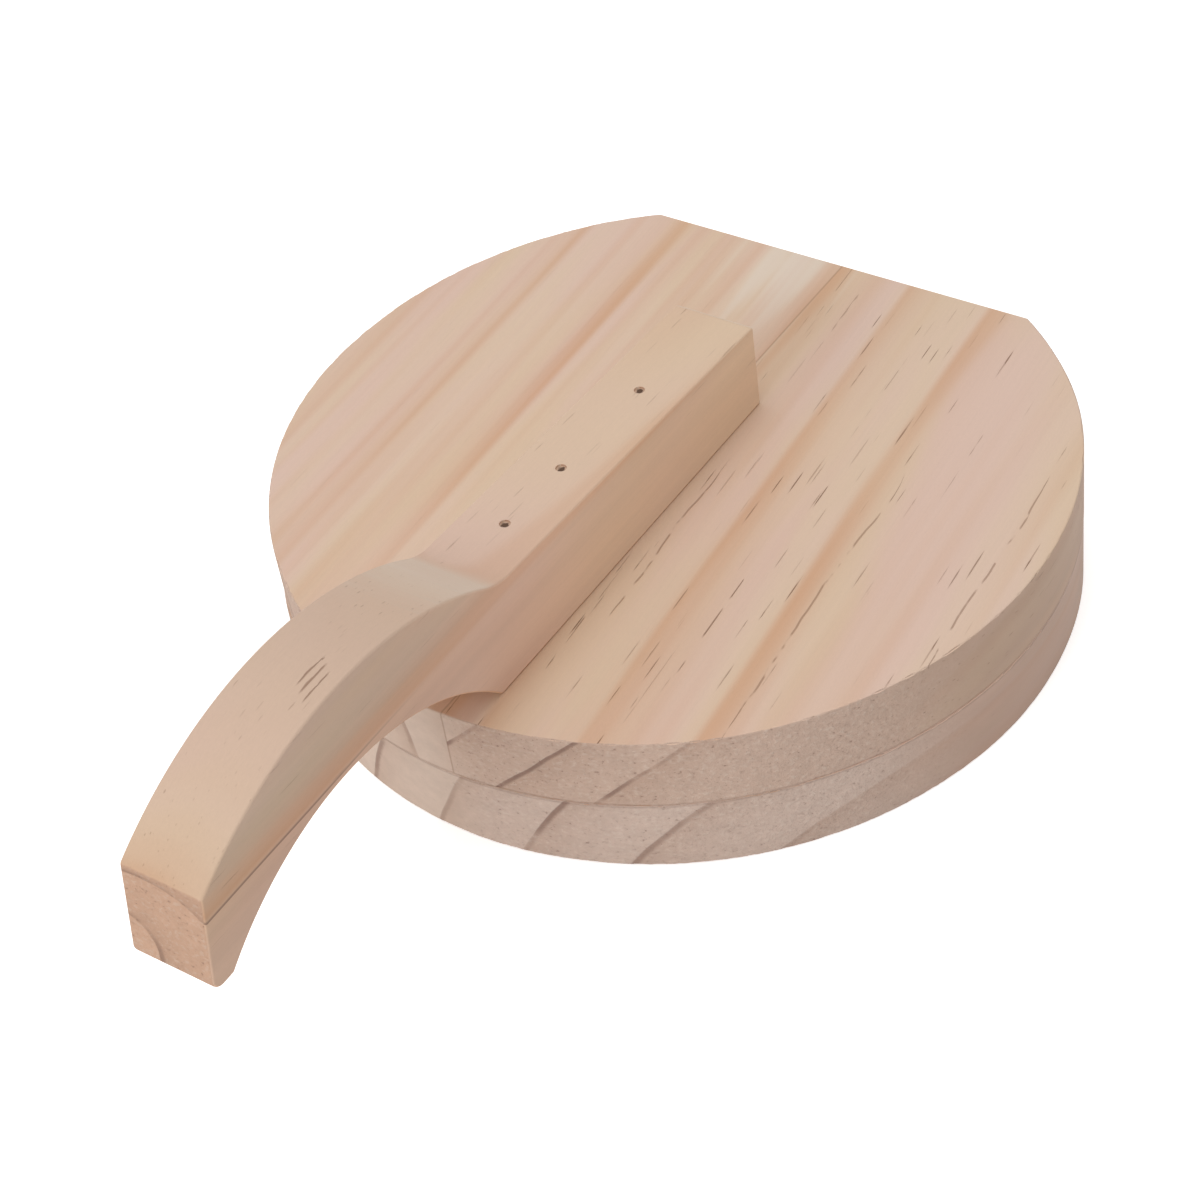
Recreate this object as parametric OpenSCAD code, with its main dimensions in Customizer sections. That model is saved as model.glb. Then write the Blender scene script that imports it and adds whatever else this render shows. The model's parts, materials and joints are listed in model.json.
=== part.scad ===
// Hinged round press for flattening a ball of dough, with an arched handle on top.
// Millimetres, +Z up. The lower board stands on z = 0 and its centre is on the Z axis.
// The handle reaches towards -Y. Both boards are cut flat at the back, towards +Y, for the hinge.

/* [Boards] */
// Diameter of both round boards
board_d = 150; // [130:1:190]
// Thickness of the lower board
base_board_t = 15; // [14:0.5:20]
// Thickness of the upper board
press_board_t = 15; // [14:0.5:20]
// Depth cut off the round at the back, where the hinge sits
flat_cut = 12.5; // [10:0.5:18]

/* [Handle] */
// Width of the handle
handle_w = 16.5; // [12:0.5:22]
// From the flat back to the handle's rear end
handle_rear_gap = 43.5; // [30:0.5:50]
// Height of the handle above the upper board at its rear end
handle_rear_h = 18; // [15:0.5:22]
// Height of the flat top where the arch starts to rise
handle_waist_h = 22; // [19:0.5:25]
// Radius of the hollow where the flat top turns into the arch
handle_waist_r = 12; // [5:0.5:20]
// Height of the arch's crest above the upper board
crest_h = 35; // [32:0.5:42]
// From the boards' front rim to the crest
crest_reach = 27; // [24:0.5:34]
// Radius of the arched top
crest_r = 66; // [60:1:75]
// Height of the finger arch's roof above the upper board
arch_h = 17.5; // [15:0.5:20]
// From the boards' front rim to the middle of the finger arch
arch_reach = 29.5; // [26:0.5:32]
// Radius of the finger arch
arch_r = 50; // [47:0.5:54]
// From the boards' front rim to the foot of the handle's end face
nose_reach = 68; // [65:0.5:75]
// Height of the handle's tip above the upper board's face
nose_h = 4.5; // [2:0.5:7]
// How far the end face leans forward for each millimetre of its height
nose_lean = 0.17; // [0:0.01:0.3]
// Round-over of the tip's lower edge
nose_round = 2; // [0.5:0.25:3]

/* [Brads] */
// Diameter of a brad's shank
brad_d = 1.5; // [1.2:0.1:2]
// Diameter of a brad's head
brad_head_d = 2; // [2:0.1:2.6]
// Thickness of a brad's head
brad_head_t = 0.8; // [0.5:0.1:1.2]
// Length of a brad under its head
brad_l = 27; // [22:1:29]
// Depth of a brad's head below the handle's top
brad_sunk = 0.4; // [0:0.1:1]
// From the foot of the arch back to the front brad
brad_front_gap = 14; // [10:0.5:18]
// From the front brad back to the middle one
brad_step_front = 17; // [10:0.5:20]
// From the middle brad back to the rear one
brad_step_rear = 25; // [15:0.5:28]

/* [Hinge] */
// Length of the hinge along its pin
hinge_l = 50; // [40:1:56]
// Thickness of the leaves' sheet metal
leaf_t = 1.2; // [0.8:0.1:1.6]
// From a leaf's free edge to the outer face of its board
leaf_margin = 1.5; // [0.5:0.25:3]
// Number of knuckles along the pin, an odd number
knuckles = 5; // [3:2:7]
// End gap between neighbouring knuckles
knuckle_gap = 0.3; // [0.2:0.05:0.6]
// Gap between the barrel and the boards' flat back
barrel_gap = 0.3; // [0.2:0.05:0.8]
// Diameter of the hinge pin
pin_d = 2.8; // [2:0.1:3.2]
// Radial clearance of the pin in the knuckles
pin_fit = 0.05; // [0.02:0.01:0.1]
// Thickness of the pin's riveted heads
pin_head_t = 0.7; // [0.4:0.1:1.2]
// How far the pin's riveted heads stand out past the shank all round
pin_head_lip = 0.7; // [0.4:0.1:0.9]

/* [Screws] */
// Diameter of a screw's shank
screw_d = 2.7; // [2.2:0.1:3]
// Diameter of a screw's countersunk head
screw_head_d = 5; // [4.5:0.1:5.5]
// Length of a screw over its head
screw_l = 12; // [8:0.5:16]
// Length of a screw's pointed tip
screw_tip_l = 2.5; // [1.5:0.5:4]
// From a leaf's outer screws to the hinge's ends
screw_end_gap = 7; // [5:0.5:9]
// Width of the cross recess in a screw's head
recess_w = 0.8; // [0.5:0.1:1]
// Length of the cross recess
recess_l = 2.8; // [2:0.1:3.4]
// Depth of the cross recess
recess_depth = 0.8; // [0.4:0.1:1]

/* [Fits] */
// Radial clearance of brads and screws in the wood and the leaves
fastener_fit = 0.02; // [0.01:0.01:0.05]

/* [Hidden] */
$fn = 96;
past = 1;                 // How far a cutting shape runs past the face it cuts
arc_steps = 48;           // Steps round each of the handle's long arcs
board_steps = 180;        // Steps round a board's rim
blunt = 0.2;              // Radius of a point's blunt end, as a share of its shank's
pine = [0.84, 0.73, 0.63];
pale_pine = [0.87, 0.76, 0.65];
steel = [0.74, 0.75, 0.76];
dark_steel = [0.36, 0.34, 0.32];

rim_y = -board_d / 2;     // Front rim of the boards
flat_y = board_d / 2 - flat_cut;
seam_z = base_board_t;    // The boards meet here, and the pin's axis is at this height
top_z = base_board_t + press_board_t;

// Handle outline, as [y, height above the upper board]
rear_y = flat_y - handle_rear_gap;
crest = [rim_y - crest_reach, crest_h - crest_r];
arch = [rim_y - arch_reach, arch_h - arch_r];
nose = [rim_y - nose_reach, nose_h];
waist_y = crest[0] + sqrt(pow(crest_r, 2) - pow(handle_waist_h - crest[1], 2));
top_slope = (handle_waist_h - handle_rear_h) / (rear_y - waist_y);
function top_h(y) = handle_rear_h + top_slope * (rear_y - y);

// Where a line from a point meets a circle: side is -1 for the first crossing and 1 for the last
function crossing(from, along, centre, r, side) =
    let (off = from - centre, b = off * along) from + (side * sqrt(b * b - off * off + r * r) - b) * along;
// Direction of a point seen from a centre
function bearing(centre, point) = atan2(point[1] - centre[1], point[0] - centre[0]);
// Points round an arc from one angle to another
function arc(centre, r, from, to, steps) =
    [for (i = [0:steps]) let (a = from + (to - from) * i / steps) centre + r * [cos(a), sin(a)]];

// The hollow's arc touches the flat top and the arched top
top_angle = atan(top_slope);
top_along = [-cos(top_angle), sin(top_angle)];
top_out = [sin(top_angle), cos(top_angle)];
hollow = crossing([rear_y, handle_rear_h] + handle_waist_r * top_out, top_along,
                  crest, crest_r + handle_waist_r, -1);
lean = atan(nose_lean);
end_top = crossing(nose, [sin(lean), cos(lean)], crest, crest_r, 1);
nose_centre = nose + nose_round * [(1 + sin(lean)) / cos(lean), 1];
tip = crossing([arch[0], nose_h], [-1, 0], arch, arch_r, 1);
seat_front = crossing([arch[0], 0], [1, 0], arch, arch_r, 1);

brad_front_y = waist_y + brad_front_gap;
brad_middle_y = brad_front_y + brad_step_front;
brad_rear_y = brad_middle_y + brad_step_rear;

barrel_r = pin_d / 2 + pin_fit + leaf_t;
pin_y = flat_y + barrel_gap + barrel_r;
knuckle_pitch = hinge_l / knuckles;
screw_step = hinge_l / 2 - screw_end_gap;
screw_cone_l = (screw_head_d - screw_d) / 2;

// Round board with its flat back, standing on z
module board(z, t) {
    translate([0, 0, z]) difference() {
        cylinder(d = board_d, h = t, $fn = board_steps);
        translate([-board_d / 2, flat_y, -past]) cube([board_d, board_d, t + 2 * past]);
    }
}

module base_board() {
    color(pine) difference() {
        board(0, base_board_t);
        for (i = [-1:1]) base_screw_at(i) screw_shape(fastener_fit, past);
    }
}

module press_board() {
    color(pale_pine) difference() {
        board(seam_z, press_board_t);
        for (i = [-1:1]) press_screw_at(i) screw_shape(fastener_fit, past);
        for (y = [brad_front_y, brad_middle_y, brad_rear_y]) brad_at(y) brad_shape(fastener_fit);
    }
}

// Side of the handle: flat top, hollow, arched top, end face, rounded tip and finger arch
module handle_outline() {
    polygon(concat(
        [[rear_y, 0], [rear_y, handle_rear_h]],
        arc(hollow, handle_waist_r, bearing(top_out, [0, 0]), bearing(hollow, crest), arc_steps / 4),
        arc(crest, crest_r, bearing(crest, hollow), bearing(crest, end_top), arc_steps),
        arc(nose_centre, nose_round, 180 - lean, 270, arc_steps / 6),
        arc(arch, arch_r, bearing(arch, tip), bearing(arch, seat_front), arc_steps)));
}

module handle() {
    color(pale_pine) difference() {
        translate([-handle_w / 2, 0, top_z]) rotate([90, 0, 90])
            linear_extrude(handle_w) handle_outline();
        for (y = [brad_front_y, brad_middle_y, brad_rear_y])
            brad_at(y) brad_shape(fastener_fit, brad_sunk + past);
    }
}

// A brad's place: the middle of its head's top
module brad_at(y) {
    translate([0, y, top_z + top_h(y) - brad_sunk]) children();
}

// Brad with its head's top at z = 0. Its hole is the same shape grown by fit and run on upwards.
module brad_shape(fit = 0, above = 0) {
    r = brad_d / 2 + fit;
    head_r = brad_head_d / 2 + fit;
    under_head = -brad_head_t - fit;
    tip_end = -brad_head_t - brad_l - fit;
    rotate_extrude() polygon([[0, above], [head_r, above], [head_r, under_head], [r, under_head],
                              [r, tip_end + brad_d], [r * blunt, tip_end], [0, tip_end]]);
}

module handle_brad_front() color(dark_steel) brad_at(brad_front_y) brad_shape();
module handle_brad_middle() color(dark_steel) brad_at(brad_middle_y) brad_shape();
module handle_brad_rear() color(dark_steel) brad_at(brad_rear_y) brad_shape();

// One leaf with every second knuckle. side is -1 for the lower leaf and 1 for the upper one.
module hinge_leaf(side, board_t, first) {
    leaf_h = board_t - leaf_margin;
    clear_r = barrel_r + knuckle_gap;
    difference() {
        union() {
            translate([-hinge_l / 2, flat_y, seam_z + (side < 0 ? -leaf_h : 0)])
                cube([hinge_l, leaf_t, leaf_h]);
            for (k = [first:2:knuckles - 1]) knuckle_at(k) cylinder(r = barrel_r, h = knuckle_pitch);
        }
        for (k = [1 - first:2:knuckles - 1]) knuckle_at(k) translate([0, 0, -knuckle_gap / 2])
            linear_extrude(knuckle_pitch + knuckle_gap)
                square([2 * clear_r, 4 * clear_r], center = true);
        knuckle_at(0) translate([0, 0, -past]) cylinder(r = pin_d / 2 + pin_fit, h = hinge_l + 2 * past);
        for (i = [-1:1]) leaf_screw_at(side, board_t, i) screw_shape(fastener_fit, past);
    }
}

// A knuckle's place: +Z runs along the pin from the knuckle's first end
module knuckle_at(k) {
    translate([-hinge_l / 2 + k * knuckle_pitch, pin_y, seam_z]) rotate([0, 90, 0]) children();
}

module hinge_leaf_base() color(steel) hinge_leaf(-1, base_board_t, 0);
module hinge_leaf_press() color(steel) hinge_leaf(1, press_board_t, 1);

module hinge_pin() {
    r = pin_d / 2;
    head_r = r + pin_head_lip;
    half_l = hinge_l / 2;
    end = half_l + pin_head_t;
    color(steel) translate([0, pin_y, seam_z]) rotate([0, 90, 0])
        rotate_extrude() polygon([[0, -end], [r, -end], [head_r, -half_l], [r, -half_l],
                                  [r, half_l], [head_r, half_l], [r, end], [0, end]]);
}

// A screw's place, midway between the leaf's barrel and its free edge, with its head towards +Y.
// i is -1, 0 or 1 along the hinge.
module leaf_screw_at(side, board_t, i) {
    out = (barrel_r + board_t - leaf_margin) / 2;
    translate([i * screw_step, flat_y + leaf_t, seam_z + side * out]) rotate([-90, 0, 0]) children();
}
module base_screw_at(i) leaf_screw_at(-1, base_board_t, i) children();
module press_screw_at(i) leaf_screw_at(1, press_board_t, i) children();

// Countersunk screw with its head's top at z = 0. Its hole is grown by fit and run on upwards.
module screw_shape(fit = 0, above = 0) {
    r = screw_d / 2 + fit;
    head_r = screw_head_d / 2 + fit;
    tip_end = -screw_l - fit;
    rotate_extrude() polygon([[0, above], [head_r, above], [head_r, 0], [r, -screw_cone_l],
                              [r, tip_end + screw_tip_l], [r * blunt, tip_end], [0, tip_end]]);
}

module screw() {
    difference() {
        screw_shape();
        for (turn = [0, 90]) rotate([0, 0, turn])
            translate([-recess_l / 2, -recess_w / 2, -recess_depth])
                cube([recess_l, recess_w, recess_depth + past]);
    }
}

module hinge_screw_base_left() color(steel) base_screw_at(-1) screw();
module hinge_screw_base_middle() color(steel) base_screw_at(0) screw();
module hinge_screw_base_right() color(steel) base_screw_at(1) screw();
module hinge_screw_press_left() color(steel) press_screw_at(-1) screw();
module hinge_screw_press_middle() color(steel) press_screw_at(0) screw();
module hinge_screw_press_right() color(steel) press_screw_at(1) screw();

base_board();
press_board();
handle();
handle_brad_front();
handle_brad_middle();
handle_brad_rear();
hinge_leaf_base();
hinge_leaf_press();
hinge_pin();
hinge_screw_base_left();
hinge_screw_base_middle();
hinge_screw_base_right();
hinge_screw_press_left();
hinge_screw_press_middle();
hinge_screw_press_right();
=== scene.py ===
import json
import math

import bmesh
import bpy
from mathutils import Matrix, Vector

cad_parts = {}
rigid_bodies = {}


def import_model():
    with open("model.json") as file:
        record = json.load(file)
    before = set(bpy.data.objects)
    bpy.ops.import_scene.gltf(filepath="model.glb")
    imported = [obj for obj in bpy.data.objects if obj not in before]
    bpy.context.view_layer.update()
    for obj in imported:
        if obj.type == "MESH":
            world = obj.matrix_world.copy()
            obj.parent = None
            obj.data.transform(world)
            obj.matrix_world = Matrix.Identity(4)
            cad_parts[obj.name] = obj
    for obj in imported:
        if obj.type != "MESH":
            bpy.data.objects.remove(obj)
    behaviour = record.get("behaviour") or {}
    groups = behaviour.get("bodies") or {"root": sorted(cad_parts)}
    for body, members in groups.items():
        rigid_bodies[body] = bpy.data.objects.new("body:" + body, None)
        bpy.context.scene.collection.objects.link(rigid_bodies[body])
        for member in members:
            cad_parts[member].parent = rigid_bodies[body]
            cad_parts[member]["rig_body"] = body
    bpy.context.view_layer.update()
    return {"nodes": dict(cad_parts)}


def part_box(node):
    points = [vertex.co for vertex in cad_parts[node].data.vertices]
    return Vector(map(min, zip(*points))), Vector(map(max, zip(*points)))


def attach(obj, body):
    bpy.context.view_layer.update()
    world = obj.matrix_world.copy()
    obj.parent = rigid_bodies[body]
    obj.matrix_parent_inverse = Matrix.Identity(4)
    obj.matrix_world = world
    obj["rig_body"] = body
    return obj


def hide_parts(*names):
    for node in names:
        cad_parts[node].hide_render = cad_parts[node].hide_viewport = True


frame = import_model()
scene = bpy.context.scene
scene.view_settings.view_transform = "Standard"
mm = 0.001
white = (1.0, 1.0, 1.0, 1.0)
origin = (0.0, 0.0, 0.0)


# camera

cameraView = {
    "place": (233.1, -309.2, 354.5),  # mm, in front of the handle's end and to its right
    "target": (-10.2, -14.6, 0.0),    # mm, the point of the table in the middle of the view
    "roll": -9.2,                     # degrees, the camera leans to its right
    "lens": 82.0,                     # mm
    "sensor": 36.0,                   # mm across
    "nearest": 0.01,                  # m, nothing nearer than this is drawn
    "farthest": 20,                   # m, nor anything farther away
}


def addCamera(view):
    data = bpy.data.cameras.new("camera")
    data.lens = view["lens"]
    data.sensor_width = view["sensor"]
    data.clip_start = view["nearest"]
    data.clip_end = view["farthest"]
    camera = bpy.data.objects.new("camera", data)
    scene.collection.objects.link(camera)
    place = Vector(view["place"]) * mm
    sight = (Vector(view["target"]) * mm - place).normalized()
    turn = sight.to_track_quat("-Z", "Y").to_matrix().to_4x4()
    roll = Matrix.Rotation(math.radians(view["roll"]), 4, "Z")
    camera.matrix_world = Matrix.Translation(place) @ turn @ roll
    scene.camera = camera


addCamera(cameraView)
print("camera placed")


# small helpers for node trees

seedStep = (311.0, 173.0, 97.0)  # how far one seed lies from the next, in the units of the place
nodeSpacing = (220, 260)         # from column to column and from row to row in the node editor


def tone(red, green, blue):
    # a colour as a paint chart gives it, 0 to 255, turned into the linear values that nodes take
    def straight(value):
        share = value / 255
        return share / 12.92 if share <= 0.04045 else ((share + 0.055) / 1.055) ** 2.4
    return (straight(red), straight(green), straight(blue), 1.0)


def addNode(tree, kind, feeds=None, **settings):
    # feeds gives each input, by name or number, a fixed value or another node's output
    node = tree.nodes.new(kind)
    for name, value in settings.items():
        setattr(node, name, value)
    for key, value in (feeds or {}).items():
        if isinstance(value, bpy.types.NodeSocket):
            tree.links.new(value, node.inputs[key])
        else:
            node.inputs[key].default_value = value
    return node


def maths(tree, operation, *values, clamp=False):
    node = addNode(tree, "ShaderNodeMath", dict(enumerate(values)), operation=operation, use_clamp=clamp)
    return node.outputs[0]


def times(tree, first, second, clamp=False):
    return maths(tree, "MULTIPLY", first, second, clamp=clamp)


def between(tree, share, low, high):
    # low where share is 0, high where it is 1
    return maths(tree, "MULTIPLY_ADD", share, high - low, low)


def awayFrom(tree, value, level):
    return maths(tree, "ABSOLUTE", maths(tree, "SUBTRACT", value, level))


def swings(tree, middle, *patterns):
    # noise lies round a half, so each pattern swings by its own reach round the middle
    half = sum(reach for pattern, reach in patterns) / 2
    linked = isinstance(middle, bpy.types.NodeSocket)
    value = maths(tree, "ADD", middle, -half) if linked else middle - half
    for pattern, reach in reversed(patterns):
        value = maths(tree, "MULTIPLY_ADD", pattern, reach, value)
    return value


def vectorMaths(tree, operation, vector, second=None):
    feeds = {0: vector}
    if second is not None:
        feeds["Scale" if operation == "SCALE" else 1] = second
    node = addNode(tree, "ShaderNodeVectorMath", feeds, operation=operation)
    return node.outputs["Value" if operation in ("LENGTH", "DOT_PRODUCT") else "Vector"]


def splitVector(tree, vector):
    return addNode(tree, "ShaderNodeSeparateXYZ", {0: vector}).outputs


def joinVector(tree, x=0.0, y=0.0, z=0.0):
    return addNode(tree, "ShaderNodeCombineXYZ", {0: x, 1: y, 2: z}).outputs[0]


def blendColors(tree, share, first, second, mode="MIX"):
    feeds = {0: share, 6: first, 7: second}
    return addNode(tree, "ShaderNodeMix", feeds, data_type="RGBA", blend_type=mode).outputs[2]


def smoothStep(tree, value, low, high):
    # 0 below low, 1 above high, or the other way round where low is the greater
    feeds = {"Value": value, "From Min": low, "From Max": high}
    return addNode(tree, "ShaderNodeMapRange", feeds, interpolation_type="SMOOTHSTEP").outputs[0]


def noiseValue(tree, place, stretch, detail=2.0, roughness=0.5):
    # stretch holds the swings along each axis, in a millimetre or in whatever unit the place has
    place = vectorMaths(tree, "MULTIPLY", place, stretch)
    feeds = {"Vector": place, "Scale": 1.0, "Detail": detail, "Roughness": roughness}
    return addNode(tree, "ShaderNodeTexNoise", feeds).outputs["Fac"]


def seeded(tree, place, seed):
    # the same pattern somewhere else, so that two staves or two boards don't match
    return vectorMaths(tree, "ADD", place, vectorMaths(tree, "SCALE", joinVector(tree, *seedStep), seed))


def socketKind(default):
    if isinstance(default, tuple):
        return "NodeSocketColor" if len(default) == 4 else "NodeSocketVector"
    return "NodeSocketInt" if isinstance(default, int) else "NodeSocketFloat"


def newGroup(name, treeKind, inputs, outputs):
    # inputs gives each one's default, or its socket's kind where it has none; outputs gives each one's kind
    tree = bpy.data.node_groups.new(name, treeKind)
    for label, default in inputs.items():
        if isinstance(default, str):
            tree.interface.new_socket(label, in_out="INPUT", socket_type=default)
        else:
            socket = tree.interface.new_socket(label, in_out="INPUT", socket_type=socketKind(default))
            socket.default_value = default
    for label, kind in outputs.items():
        tree.interface.new_socket(label, in_out="OUTPUT", socket_type=kind)
    return tree, tree.nodes.new("NodeGroupInput").outputs, tree.nodes.new("NodeGroupOutput").inputs


def shapeNode(tree, kind, feeds=None, **settings):
    return addNode(tree, "GeometryNode" + kind, feeds, **settings).outputs[0]


def useGroup(tree, group, feeds):
    return addNode(tree, "ShaderNodeGroup", feeds, node_tree=group).outputs


def layOut(tree):
    # every node stands one column right of the last node that feeds it
    columns = {}

    def column(node):
        if node not in columns:
            columns[node] = 0
            feeders = [link.from_node for socket in node.inputs for link in socket.links]
            columns[node] = 1 + max([column(feeder) for feeder in feeders], default=-1)
        return columns[node]

    filled = {}
    for node in tree.nodes:
        across = column(node)
        down = filled.get(across, 0)
        node.location = (nodeSpacing[0] * across, -nodeSpacing[1] * down)
        filled[across] = down + 1


def closeGroup(tree, out, results):
    for label, result in results.items():
        tree.links.new(result, out[label])
    layOut(tree)
    return tree


def newMaterial(name, displayColor):
    material = bpy.data.materials.new(name)
    material.use_nodes = True
    material.diffuse_color = displayColor
    tree = material.node_tree
    return material, tree, tree.nodes["Principled BSDF"]


def placeInMillimetres(tree, texture):
    feeds = {"Vector": texture["Object"], "Scale": (1 / mm, 1 / mm, 1 / mm)}
    return addNode(tree, "ShaderNodeMapping", feeds).outputs[0]


def finishSurface(tree, shader, surface):
    # surface is what a group gives: a colour, a roughness and a height in millimetres
    bump = addNode(tree, "ShaderNodeBump", {"Height": surface["Height"], "Distance": mm, "Strength": 1.0})
    tree.links.new(surface["Color"], shader.inputs["Base Color"])
    tree.links.new(surface["Roughness"], shader.inputs["Roughness"])
    tree.links.new(bump.outputs[0], shader.inputs["Normal"])


surfaceOutputs = {"Color": "NodeSocketColor", "Roughness": "NodeSocketFloat", "Height": "NodeSocketFloat"}


# pine

# In the dictionaries of this section lengths are in millimetres, a Stretch holds the swings in a millimetre
# along each axis, and a Range holds where a smooth step starts and ends.
pineLook = {
    "rosy": tone(219, 190, 174),      # spring wood, where it is rosy
    "cream": tone(218, 193, 167),     # spring wood, where it is creamy
    "late": tone(203, 155, 119),      # summer wood, at the end of a year's ring
    "slant": tone(219, 206, 192),     # a sanded face that cuts the grain at a slant
    "pale": tone(224, 209, 193),      # a pale patch
    "canal": tone(128, 88, 63),       # resin canals
    "endLate": tone(170, 137, 117),   # summer wood on the end grain
    "endPale": tone(207, 186, 170),   # end grain, where it is smooth
    "endLine": tone(122, 92, 80),     # ring lines on the end grain
    "endFleck": tone(226, 212, 198),  # torn fibres on the end grain
    "roughness": 0.60,
    "endRoughness": 0.80,
    "shine": 0.3,
}
plainSawn = (0.6, 0.45, 0.38, 1.0)  # sawn end grain, where a board names no tone of its own
nowhere = -1000.0                   # farther off than any of the wood
ringShape = {
    "bendStretch": (0.017, 0.0055, 0.017),
    "bendReach": 7.0,    # the rings' broad wander
    "rippleStretch": (0.10, 0.018, 0.10),
    "rippleReach": 1.6,  # the small one on top of it
}


def ringGroup():
    # One year's ring after another round the pith, which runs along Y. Share goes from 0 in spring to 1 in
    # autumn and drops back at once. A ring width below 0 turns that round, and Skew makes the growth
    # lopsided. Band follows the rings in millimetres, so that what is drawn on it runs along them. Straight
    # only takes out the grain's lean.
    tree, given, out = newGroup("yearRings", "ShaderNodeTree", {
        "Place": origin,
        "Pith": origin,
        "Ring Width": 12.0,
        "First Ring": 0.0,
        "Last Ring": nowhere,
        "Skew": origin,
        "Lean": 0.0,
        "Wander": 1.0,
        "Seed": 0.0,
    }, {
        "Share": "NodeSocketFloat", "Year": "NodeSocketFloat",
        "Band": "NodeSocketVector", "Straight": "NodeSocketVector",
    })
    parts = splitVector(tree, given["Place"])
    leaned = maths(tree, "MULTIPLY_ADD", parts["Y"], given["Lean"], parts["X"])
    section = joinVector(tree, x=leaned, z=parts["Z"])
    fromPith = vectorMaths(tree, "SUBTRACT", section, given["Pith"])
    fromPith = vectorMaths(tree, "MULTIPLY", fromPith, (1, 0, 1))
    lopsided = vectorMaths(tree, "DOT_PRODUCT", section, given["Skew"])
    radius = maths(tree, "ADD", vectorMaths(tree, "LENGTH", fromPith), lopsided)
    own = seeded(tree, given["Place"], given["Seed"])
    bend = noiseValue(tree, own, ringShape["bendStretch"], detail=0.0)
    ripple = noiseValue(tree, own, ringShape["rippleStretch"], detail=1.0)
    shift = swings(tree, 0.0, (bend, ringShape["bendReach"]), (ripple, ringShape["rippleReach"]))
    wandered = maths(tree, "MULTIPLY_ADD", shift, given["Wander"], radius)
    rings = maths(tree, "SUBTRACT", wandered, given["First Ring"])
    rings = maths(tree, "DIVIDE", rings, given["Ring Width"])
    ended = maths(tree, "MAXIMUM", rings, given["Last Ring"])
    return closeGroup(tree, out, {
        "Share": maths(tree, "FRACT", ended),
        "Year": maths(tree, "FLOOR", ended),
        "Band": joinVector(tree, times(tree, rings, given["Ring Width"]), parts["Y"], given["Seed"]),
        "Straight": joinVector(tree, leaned, parts["Y"], parts["Z"]),
    })


canalShape = {
    "thinnest": 0.5,  # shares of the thickest and of the darkest canal
    "faintest": 0.4,
    "core": 0.5,      # the share of its width in which a canal is fully dark
    "breakStretch": (0.7, 0.13, 0.7),
    "breakRange": (0.54, 0.48),
}


def canalGroup():
    # Resin canals: thin spindles along the grain. A face along it cuts them into short dark dashes, and a
    # face across it into dots.
    tree, given, out = newGroup("resinCanals", "ShaderNodeTree", {
        "Place": origin,
        "Spread": 1.5,
        "Length": 30.0,
        "Thickness": 0.17,
        "Broken": 0.0,
    }, {"Mask": "NodeSocketFloat"})
    across = maths(tree, "DIVIDE", 1.0, given["Spread"])
    along = maths(tree, "DIVIDE", 1.0, given["Length"])
    place = vectorMaths(tree, "MULTIPLY", given["Place"], joinVector(tree, across, along, across))
    cells = addNode(tree, "ShaderNodeTexVoronoi", {"Vector": place, "Scale": 1.0, "Randomness": 1.0})
    chance = addNode(tree, "ShaderNodeSeparateColor", {0: cells.outputs["Color"]}).outputs
    thickest = times(tree, given["Thickness"], across)
    rim = times(tree, thickest, between(tree, chance[0], canalShape["thinnest"], 1.0))
    core = smoothStep(tree, cells.outputs["Distance"], rim, times(tree, rim, canalShape["core"]))
    core = times(tree, core, between(tree, chance[1], canalShape["faintest"], 1.0))
    breaks = noiseValue(tree, given["Place"], canalShape["breakStretch"], detail=1.0)
    gap = times(tree, smoothStep(tree, breaks, *canalShape["breakRange"]), given["Broken"])
    return closeGroup(tree, out, {"Mask": times(tree, core, maths(tree, "SUBTRACT", 1.0, gap))})


tearShape = {
    "raggedStretch": (0.9, 0.30, 0.9),
    "raggedReach": 0.5,           # how far the tears sway sideways
    "step": 1.3,                  # each tear starts that much further along than its neighbour
    "thinning": 0.6,              # where a tear starts to end, as a share of its half length
    "thickness": (-0.15, 0.65),   # half of it: none where the fibres held, most where they are ragged
    "core": 0.05,                 # a tear is fully dark that near its own line
    "countRange": (1.6, 1.4),     # the middle tear is number 0, and one lies on each side of it
    "heightRange": (-6.0, -4.0),  # from the middle, so that nothing lower is torn
    "strength": 0.8,
}


def tearGroup():
    # Three short ragged tears in the fibres, side by side, round one place on an upper face
    tree, given, out = newGroup("fibreTears", "ShaderNodeTree", {
        "Place": origin,
        "Middle": origin,
        "Spacing": 1.5,
        "Length": 8.0,
    }, {"Mask": "NodeSocketFloat"})
    ragged = noiseValue(tree, given["Place"], tearShape["raggedStretch"], detail=2.0)
    away = splitVector(tree, vectorMaths(tree, "SUBTRACT", given["Place"], given["Middle"]))
    across = swings(tree, away["X"], (ragged, tearShape["raggedReach"]))
    count = maths(tree, "ROUND", maths(tree, "DIVIDE", across, given["Spacing"]))
    beside = awayFrom(tree, across, times(tree, count, given["Spacing"]))
    along = maths(tree, "ABSOLUTE", maths(tree, "MULTIPLY_ADD", count, tearShape["step"], away["Y"]))
    half = times(tree, given["Length"], 0.5)
    ended = smoothStep(tree, along, half, times(tree, half, tearShape["thinning"]))
    thickness = between(tree, ragged, *tearShape["thickness"])
    tear = times(tree, smoothStep(tree, beside, thickness, tearShape["core"]), ended)
    inside = smoothStep(tree, maths(tree, "ABSOLUTE", count), *tearShape["countRange"])
    high = smoothStep(tree, away["Z"], *tearShape["heightRange"])
    tear = times(tree, times(tree, tear, inside), times(tree, high, tearShape["strength"]))
    return closeGroup(tree, out, {"Mask": tear})


crackShape = {
    "half": 0.5,       # shares of its length: where it ends, from its middle,
    "thinning": 0.25,  # and where it starts to thin out
    "core": 0.3,       # the share of its width in which it is fully dark
}


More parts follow.
